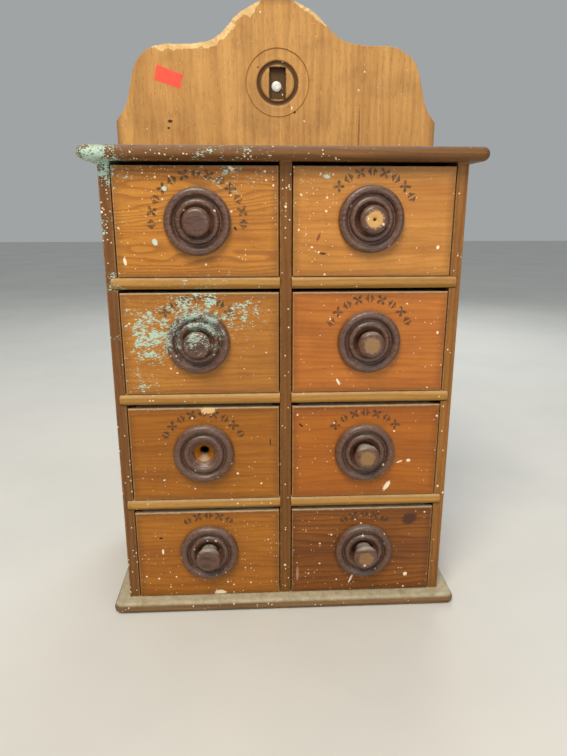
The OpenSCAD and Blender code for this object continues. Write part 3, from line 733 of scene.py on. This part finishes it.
def turnedMaterial(name, look, centre, rawEnd=0.0, dustAmount=0.4):
    material = bpy.data.materials.new(name)
    material.use_nodes = True
    tree = material.node_tree
    shader = tree.nodes["Principled BSDF"]
    place = put(tree, vectorNode, {
        0: put(tree, "ShaderNodeTexCoord", out="Object"), "Scale": 1 / mm}, operation="SCALE")
    fibre = put(tree, noiseNode, {
        "Vector": put(tree, vectorNode, {0: place, 1: (0.12, 0.8, 0.8)}, operation="MULTIPLY"),
        "Scale": 1, "Detail": 4, "Roughness": 0.65})
    colour = put(tree, mixNode, {
        0: put(tree, rangeNode, {0: fibre, 1: 0.35, 2: 0.65}),
        6: linear(look["deep"]), 7: linear(look["mid"])}, out=2, data_type="RGBA")
    rubbed = put(tree, "ShaderNodeNewGeometry", out="Pointiness")
    rubbed = put(tree, rangeNode, {0: rubbed, 1: 0.5, 2: 0.56})
    scuffs = put(tree, noiseNode, {"Vector": place, "Scale": 0.45, "Detail": 5, "Roughness": 0.7})
    scuffs = put(tree, rangeNode, {0: scuffs, 1: 0.42, 2: 0.62, 3: 0.1, 4: 0.75})
    rubbed = times(tree, rubbed, scuffs)
    colour = blend(tree, rubbed, colour, linear(look["worn"]))
    height = put(tree, mathNode, {0: fibre, 1: 0.8, 2: scuffs}, operation="MULTIPLY_ADD")
    local = put(tree, vectorNode, {0: place, 1: centre}, operation="SUBTRACT")
    if rawEnd:  # the end of the knob, worn through to bare yellow wood
        flatLocal = put(tree, vectorNode, {0: local, 1: (1, 0, 1)}, operation="MULTIPLY")
        reach = put(tree, vectorNode, {0: flatLocal}, operation="LENGTH", out="Value")
        front = put(tree, mathNode, {
            0: put(tree, splitNode, {0: local}, out="Y"), 1: -12.6}, operation="LESS_THAN")
        bare = put(tree, rangeNode, {
            0: put(tree, mathNode, {0: scuffs, 1: -2.2, 2: reach}, operation="MULTIPLY_ADD"), 1: 5.6,
            2: 4.2, 3: 0,
            4: rawEnd})
        bare = times(tree, bare, front)
        colour = blend(tree, bare, colour, linear("#C7994E"))
    drop = put(tree, "ShaderNodeGroup", {"Vector": place, "Amount": put(
        tree, mathNode, {0: put(tree, "ShaderNodeGroup", {"Vector": place}, node_tree=cloud,
            out="cream"), 1: 0.8},
        operation="MULTIPLY"), "Cell": 3.4, "Size": 0.2}, node_tree=drops)
    colour = blend(tree, drop, colour, linear("#E4D3B8"))
    mintHere = put(tree, "ShaderNodeGroup", {"Vector": place}, node_tree=cloud, out="mint")
    mint = put(tree, mathNode, {
        0: put(tree, "ShaderNodeGroup", {"Vector": place, "Amount": mintHere}, node_tree=flakes),
        1: put(tree, rangeNode, {0: mintHere, 1: 0.02, 2: 0.2, 3: 0, 4: 0.8})}, operation="MULTIPLY")
    colour = blend(tree, mint, colour, linear("#A9C2B2"))
    up = put(tree, splitNode, {0: put(tree, "ShaderNodeNewGeometry", out="Normal")}, out="Z")
    up = put(tree, rangeNode, {0: up, 1: 0.35, 2: 0.95}, interpolation_type="SMOOTHSTEP")
    dust = put(tree, mathNode, {
        0: put(tree, rangeNode, {0: scuffs, 1: 0.1, 2: 0.75, 3: 0.55, 4: 1}), 1: up}, operation="MULTIPLY")
    dust = times(tree, dust, dustAmount)
    colour = blend(tree, dust, colour, linear("#A9A498"))
    rough = put(tree, rangeNode, {0: dust, 3: look["rough"], 4: 0.9})
    bump = put(tree, "ShaderNodeBump", {"Height": height, "Strength": 0.5, "Distance": 0.15 * mm})
    for label, source in (("Base Color", colour), ("Roughness", rough), ("Normal", bump)):
        tree.links.new(source, shader.inputs[label])
    shader.inputs["IOR"].default_value = 1.5
    shader.inputs["Coat Weight"].default_value = 0.25
    shader.inputs["Coat Roughness"].default_value = 0.3
    return material


# The rosette's half-section, radius and height over the front in mm, from its edge round to the tapered seat.
rosetteShape = {"bead": (19.7, 2.6, 3.0), "floor": 2.2, "ring": (12.8, 2.5, 2.4), "dish": 3.2,
    "seat": (10.4, 7.3),
                "segments": 192}


def rosetteProfile(shape):
    radius, height, size = shape["bead"]
    points = [(7.3, 0.0), (radius + size - 0.15, 0.0), (radius + size, 0.2)]
    points += [(radius + size * math.cos(a), height + size * math.sin(a))
               for a in (math.radians(d) for d in range(0, 181, 10)) if height + size * math.sin(a) > 0.3]
    points.append((radius - size, shape["floor"] + 0.15))
    ringR, ringH, ringSize = shape["ring"]
    points += [(radius - size - 0.25, shape["floor"]), (ringR + ringSize + 0.25, shape["floor"])]
    points += [(ringR + ringSize * math.cos(a), ringH + ringSize * math.sin(a))
               for a in (math.radians(d) for d in range(0, 171, 10))]
    points += [(shape["seat"][0] + 0.25, shape["dish"] + 0.05), (shape["seat"][0], shape["dish"] - 0.15)]
    points += [(shape["seat"][0] + (shape["seat"][1] - shape["seat"][0]) * t,
        shape["dish"] * (1 - t)) for t in (0.3, 0.6)]
    return points


def torn(angle, radius, seed):  # the end grain, left and right, tears in turning
    endGrain = abs(math.cos(angle)) ** 3
    bands = noise.noise(Vector((radius * 0.12, math.sin(angle) * radius * 0.9, seed)))
    chips = noise.noise(Vector((radius * 0.5 * math.cos(angle), radius * 0.5 * math.sin(angle), seed + 5)))
    return 0.32 * endGrain * max(0, bands) + 0.10 * chips


def lathe(name, profile, centre, faceY, segments, material, body, seed, wear, closed):
    verts, faces, size = [], [], len(profile)
    for k in range(segments):
        angle = 2 * math.pi * k / segments
        for r, h in profile:
            amount = wear(angle, r, seed) * mm if 0.6 < h and r > 3 else 0
            reach = r * mm - amount * 0.3
            verts.append((centre.x + reach * math.cos(angle), faceY - h * mm + amount,
                centre.z + reach * math.sin(angle)))
    last = size if closed else size - 1
    for k in range(segments):
        m = (k + 1) % segments
        faces += [(k * size + i, k * size + (i + 1) % size, m * size + (i + 1) % size,
            m * size + i) for i in range(last)]
    return meshPiece(name, verts, faces, material, body)


knobShape = {"reach": 14.5, "headR": 9.5, "endR": 6.4, "headH": 11.3, "neckR": 7.0, "neckH": 4.5,
    "footR": 3.4,
             "footH": -4.8, "tenonH": -9.5, "segments": 128}


def knobProfile(shape, dent):
    points = [(0, shape["tenonH"]), (shape["footR"], shape["tenonH"]), (shape["footR"], shape["footH"]),
              (shape["neckR"], 0.5), (shape["neckR"], 2.5)]
    for k in range(13):
        t = k / 12
        ease = t * t * (3 - 2 * t)
        points.append((shape["neckR"] + (shape["headR"] - shape["neckR"]) * ease,
                       shape["neckH"] + (shape["headH"] - shape["neckH"]) * t))
    head = shape["reach"] - shape["headH"]
    for k in range(1, 10):
        a = math.radians(90 * k / 9)
        points.append((shape["endR"] + (shape["headR"] - shape["endR"]) * math.cos(a),
            shape["headH"] + head * math.sin(a)))
    points += [(4.0, shape["reach"] + 0.0), (1.6, shape["reach"] - 0.05)]
    if dent:  # a small centre hole left by the lathe
        points += [(1.2, shape["reach"] - 0.3), (0.9, shape["reach"] - 2.4)]
    return points + [(0, shape["reach"] - (2.6 if dent else 0.05))]


def knobWear(angle, radius, seed):
    spot = Vector((radius * 0.3 * math.cos(angle), radius * 0.3 * math.sin(angle), seed))
    return 0.25 * max(0, noise.noise(spot))


knobLooks = {  # how bare the end is, how dusty the top is, whether the lathe's hole shows
    ("left", 1): (0.0, 0.3, False), ("right", 1): (1.0, 0.2, True), ("left", 2): (0.0, 0.35, False),
    ("right", 2): (0.35, 0.55, False), ("right", 3): (0.35, 0.85, False), ("left", 4): (0.0, 0.95, False),
    ("right", 4): (0.3, 0.95, False),
}
for column in columns:
    for row in rows:
        drawer = f"drawer_{column}_{row}"
        centre = centreOf(drawer + "_rosette")
        faceY = boxes[drawer + "_rosette"][1].y
        seed = row * 7.3 + (40 if column == "right" else 0)
        middle = (centre.x / mm, faceY / mm, centre.z / mm)
        material = turnedMaterial(f"stainedRosette_{column}_{row}", turnedLook, middle, 0, 0.3)
        rosette = lathe(drawer + "_turned_rosette", rosetteProfile(rosetteShape), centre, faceY,
                        rosetteShape["segments"], material, drawer, seed, torn, True)
        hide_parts(drawer + "_rosette")
        if (column, row) in knobLooks:
            bareEnd, dusty, dent = knobLooks[column, row]
            material = turnedMaterial(f"stainedKnob_{column}_{row}", turnedLook, middle, bareEnd, dusty)
            knob = lathe(drawer + "_turned_knob", knobProfile(knobShape, dent), centre, faceY,
                         knobShape["segments"], material, drawer, seed + 3, knobWear, False)
            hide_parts(drawer + "_knob")
print("rosettes and knobs turned")

# Bare price label: red paper on the crest.
labelLook = {"corners": ((-100.1, 75.7), (-79.0, 68.0), (-81.9, 57.3), (-102.8, 64.0)), "thick": 0.12}


def plainMaterial(name, pale, deep, rough, scale, coat=0.0):
    material = bpy.data.materials.new(name)
    material.use_nodes = True
    tree = material.node_tree
    shader = tree.nodes["Principled BSDF"]
    place = put(tree, vectorNode, {
        0: put(tree, "ShaderNodeTexCoord", out="Object"), "Scale": 1 / mm}, operation="SCALE")
    mottle = put(tree, noiseNode, {"Vector": place, "Scale": scale, "Detail": 4, "Roughness": 0.6})
    colour = put(tree, mixNode, {0: put(tree, rangeNode, {0: mottle, 1: 0.4, 2: 0.65}),
                                 6: linear(pale), 7: linear(deep)}, out=2, data_type="RGBA")
    bump = put(tree, "ShaderNodeBump", {"Height": mottle, "Strength": 0.3, "Distance": 0.05 * mm})
    tree.links.new(colour, shader.inputs["Base Color"])
    tree.links.new(put(tree, rangeNode, {0: mottle, 3: rough - 0.08, 4: rough + 0.12}),
        shader.inputs["Roughness"])
    tree.links.new(bump, shader.inputs["Normal"])
    shader.inputs["Coat Weight"].default_value = coat
    return material


corners = [Vector((x * mm, 0, crestFoot + z * mm)) for x, z in labelLook["corners"]]
verts, faces, across, down = [], [], 12, 6
for side in (0, 1):
    for j in range(down + 1):
        for i in range(across + 1):
            u, v = i / across, j / down
            p = corners[0].lerp(corners[1], u).lerp(corners[3].lerp(corners[2], u), v)
            lift = 0.35 * max(0, u - 0.8) * 5 * max(0, 1 - v - 0.6) * 2.5   # one corner stands off a little
            verts.append((p.x, low.y - (0.02 + lift + side * labelLook["thick"]) * mm, p.z))
row = across + 1
layer = row * (down + 1)
for j in range(down):
    for i in range(across):
        a = j * row + i
        faces += [(a, a + row, a + row + 1, a + 1),
            (layer + a, layer + a + 1, layer + a + row + 1, layer + a + row)]
rim = [i for i in range(row)] + [j * row + across for j in range(1, down + 1)]
rim += [down * row + i for i in range(across - 1, -1, -1)] + [j * row for j in range(down - 1, 0, -1)]
faces += [(a, b, layer + b, layer + a) for a, b in zip(rim, rim[1:] + rim[:1])]
label = meshPiece("bare_red_label", verts, faces, plainMaterial(
    "redLabelPaper", "#FF5238", "#F0472F", 0.5, 0.9), "case", smooth=False)

# The screw that the cabinet hangs on: slotted, painted over in white with its surroundings.
screwLook = {"place": (-0.8, 60.5), "radius": 4.2, "dome": 1.5, "shank": 1.9, "length": 2.9}


def screwProfile(look):
    points = [(0, -look["length"]), (look["shank"], -look["length"]), (look["shank"], 0.05),
        (look["radius"] - 0.3, 0.05),
              (look["radius"], 0.35)]
    points += [(look["radius"] * math.cos(math.radians(a)), 0.5 + look["dome"] * math.sin(math.radians(a)))
               for a in range(10, 91, 10)]
    return points


pocketFloor = low.y + crest["pocket"][2] * mm
screwCentre = Vector((screwLook["place"][0] * mm, 0, crestFoot + screwLook["place"][1] * mm))
whitePaint = plainMaterial("whiteEnamelDrips", "#F4F4EE", "#C9CCC4", 0.35, 0.5, 0.3)
screw = lathe("painted_screw", screwProfile(screwLook), screwCentre, pocketFloor, 48, whitePaint, "case", 1,
              lambda *_: 0, False)
print("label and screw placed")

# Drawer nails: one tree places every head of a drawer, three on each joint.
nailLook = {"head": 1.15, "proud": 0.16, "perJoint": 3, "inset": 9.0, "fromFront": 2.8, "fromBack": 2.5}


def nailTree():
    tree, given, asked = startGroup(
        "nailRows",
        [("Geometry", "NodeSocketGeometry", None), ("Start", vector, (0, 0, 0)),
            ("Step", vector, (0, 0, 0)),
         ("Across", vector, (0, 0, 0)), ("Count", "NodeSocketInt", 3), ("Head", number, 0.001),
         ("Proud", number, 0.0002), ("Material", "NodeSocketMaterial", None)],
        [("Geometry", "NodeSocketGeometry")], "GeometryNodeTree")
    rowsMade = []
    for side in (1, -1):
        line = put(tree, "GeometryNodeMeshLine", {
            "Count": given["Count"], "Start Location": given["Start"] if side == 1 else put(
                tree, "ShaderNodeVectorMath", {0: given["Start"], 1: given["Across"]}, operation="ADD"),
            "Offset": given["Step"]}, mode="OFFSET")
        head = put(tree, "GeometryNodeMeshUVSphere", {"Segments": 12, "Rings": 6, "Radius": 1.0})
        head = put(tree, "GeometryNodeTransform", {
            0: head, "Scale": put(tree, "ShaderNodeCombineXYZ", {
                "X": given["Proud"], "Y": given["Head"], "Z": given["Head"]})})
        rowsMade.append(put(tree, "GeometryNodeInstanceOnPoints", {"Points": line, "Instance": head}))
    joined = tree.nodes.new("GeometryNodeJoinGeometry")
    for made in rowsMade:
        tree.links.new(made, joined.inputs[0])
    real = put(tree, "GeometryNodeRealizeInstances", {0: joined.outputs[0]})
    tree.links.new(put(tree, "GeometryNodeSetMaterial", {0: real, "Material": given["Material"]}), asked[0])
    return tree


def growWith(tree, name, values):  # runs a tree on an empty mesh and keeps the plain result
    holder = bpy.data.objects.new(name + "_maker", bpy.data.meshes.new(name + "_maker"))
    bpy.context.scene.collection.objects.link(holder)
    grown = holder.modifiers.new("grow", "NODES")
    grown.node_group = tree
    for item in tree.interface.items_tree:
        if item.item_type == "SOCKET" and item.in_out == "INPUT" and item.name in values:
            grown[item.identifier] = values[item.name]
    mesh = bpy.data.meshes.new_from_object(holder.evaluated_get(bpy.context.evaluated_depsgraph_get()))
    holder.modifiers.remove(grown)
    bpy.data.objects.remove(holder)
    return mesh


nails = nailTree()
for column in columns:
    for row in rows:
        drawer = f"drawer_{column}_{row}"
        frontLow, frontHigh = boxes[drawer + "_front"]
        sideLow, sideHigh = boxes[drawer + "_sides"]
        step = (sideHigh.z - sideLow.z - 2 * nailLook["inset"] * mm) / (nailLook["perJoint"] - 1)
        meshes = []
        for y, lowX, highX in (
            (sideLow.y + nailLook["fromFront"] * mm, sideLow.x, sideHigh.x),
            (sideHigh.y - nailLook["fromBack"] * mm, sideLow.x, sideHigh.x),
        ):
            meshes.append(growWith(nails, drawer, {
                "Start": (lowX, y, sideLow.z + nailLook["inset"] * mm), "Step": (0, 0, step),
                "Across": (highX - lowX, 0, 0), "Count": nailLook["perJoint"],
                "Head": nailLook["head"] * mm,
                "Proud": nailLook["proud"] * mm, "Material": nailIron}))
        work = bmesh.new()
        for mesh in meshes:
            work.from_mesh(mesh)
        joined = bpy.data.meshes.new(drawer + "_nails")
        work.to_mesh(joined)
        work.free()
        joined.materials.append(nailIron)
        piece = bpy.data.objects.new(drawer + "_nails", joined)
        bpy.context.scene.collection.objects.link(piece)
        joined.polygons.foreach_set("use_smooth", [True] * len(joined.polygons))
        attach(piece, drawer)
print("drawer nails driven")

# Stage: pale floor, soft light, the photograph's camera.
stage = {"floor": 6.0, "floorColour": "#D9DAD6", "world": "#E6EAEC", "worldStrength": 0.45}
floorMesh = bpy.data.meshes.new("floor")
half = stage["floor"]
floorMesh.from_pydata([(-half, -half, 0), (half, -half, 0), (half, half, 0), (-half, half, 0)], [],
    [(0, 1, 2, 3)])
floor = bpy.data.objects.new("floor", floorMesh)
bpy.context.scene.collection.objects.link(floor)
floorMesh.materials.append(plainMaterial("paleFloor", stage["floorColour"], "#D2D4D0", 0.8, 0.004))
world = bpy.data.worlds.new("studio")
bpy.context.scene.world = world
world.use_nodes = True
world.node_tree.nodes["Background"].inputs["Color"].default_value = linear(stage["world"])
world.node_tree.nodes["Background"].inputs["Strength"].default_value = stage["worldStrength"]
lamps = {  # place, aim, size, power in watts, colour
    "keyAbove": ((-0.25, -0.75, 1.25), (0, 0, 0.22), 0.6, 15, "#FFF1DE"),
    "fillFront": ((0.5, -1.6, 0.5), (0, 0, 0.25), 1.2, 6, "#F6F6FF"),
    "rimBack": ((0.3, 1.2, 1.0), (0, 0, 0.25), 1.0, 8, "#FFFFFF"),
}
for name, (spot, aim, size, power, tint) in lamps.items():
    light = bpy.data.lights.new(name, "AREA")
    light.shape, light.size, light.energy, light.color = "DISK", size, power, linear(tint)[:3]
    lamp = bpy.data.objects.new(name, light)
    lamp.location = spot
    lamp.rotation_euler = (Vector(aim) - Vector(spot)).to_track_quat("-Z", "Y").to_euler()
    bpy.context.scene.collection.objects.link(lamp)
cameraLook = {"place": (-0.0234, -0.4858, 0.3073), "turn": (74.504, 0, -2.934), "lens": 28.65}
lens = bpy.data.cameras.new("photoView")
lens.lens, lens.sensor_width, lens.clip_start = cameraLook["lens"], 36, 0.01
camera = bpy.data.objects.new("photoView", lens)
camera.location = cameraLook["place"]
camera.rotation_euler = [math.radians(a) for a in cameraLook["turn"]]
bpy.context.scene.collection.objects.link(camera)
bpy.context.scene.camera = camera
bpy.context.scene.view_settings.view_transform = "Standard"
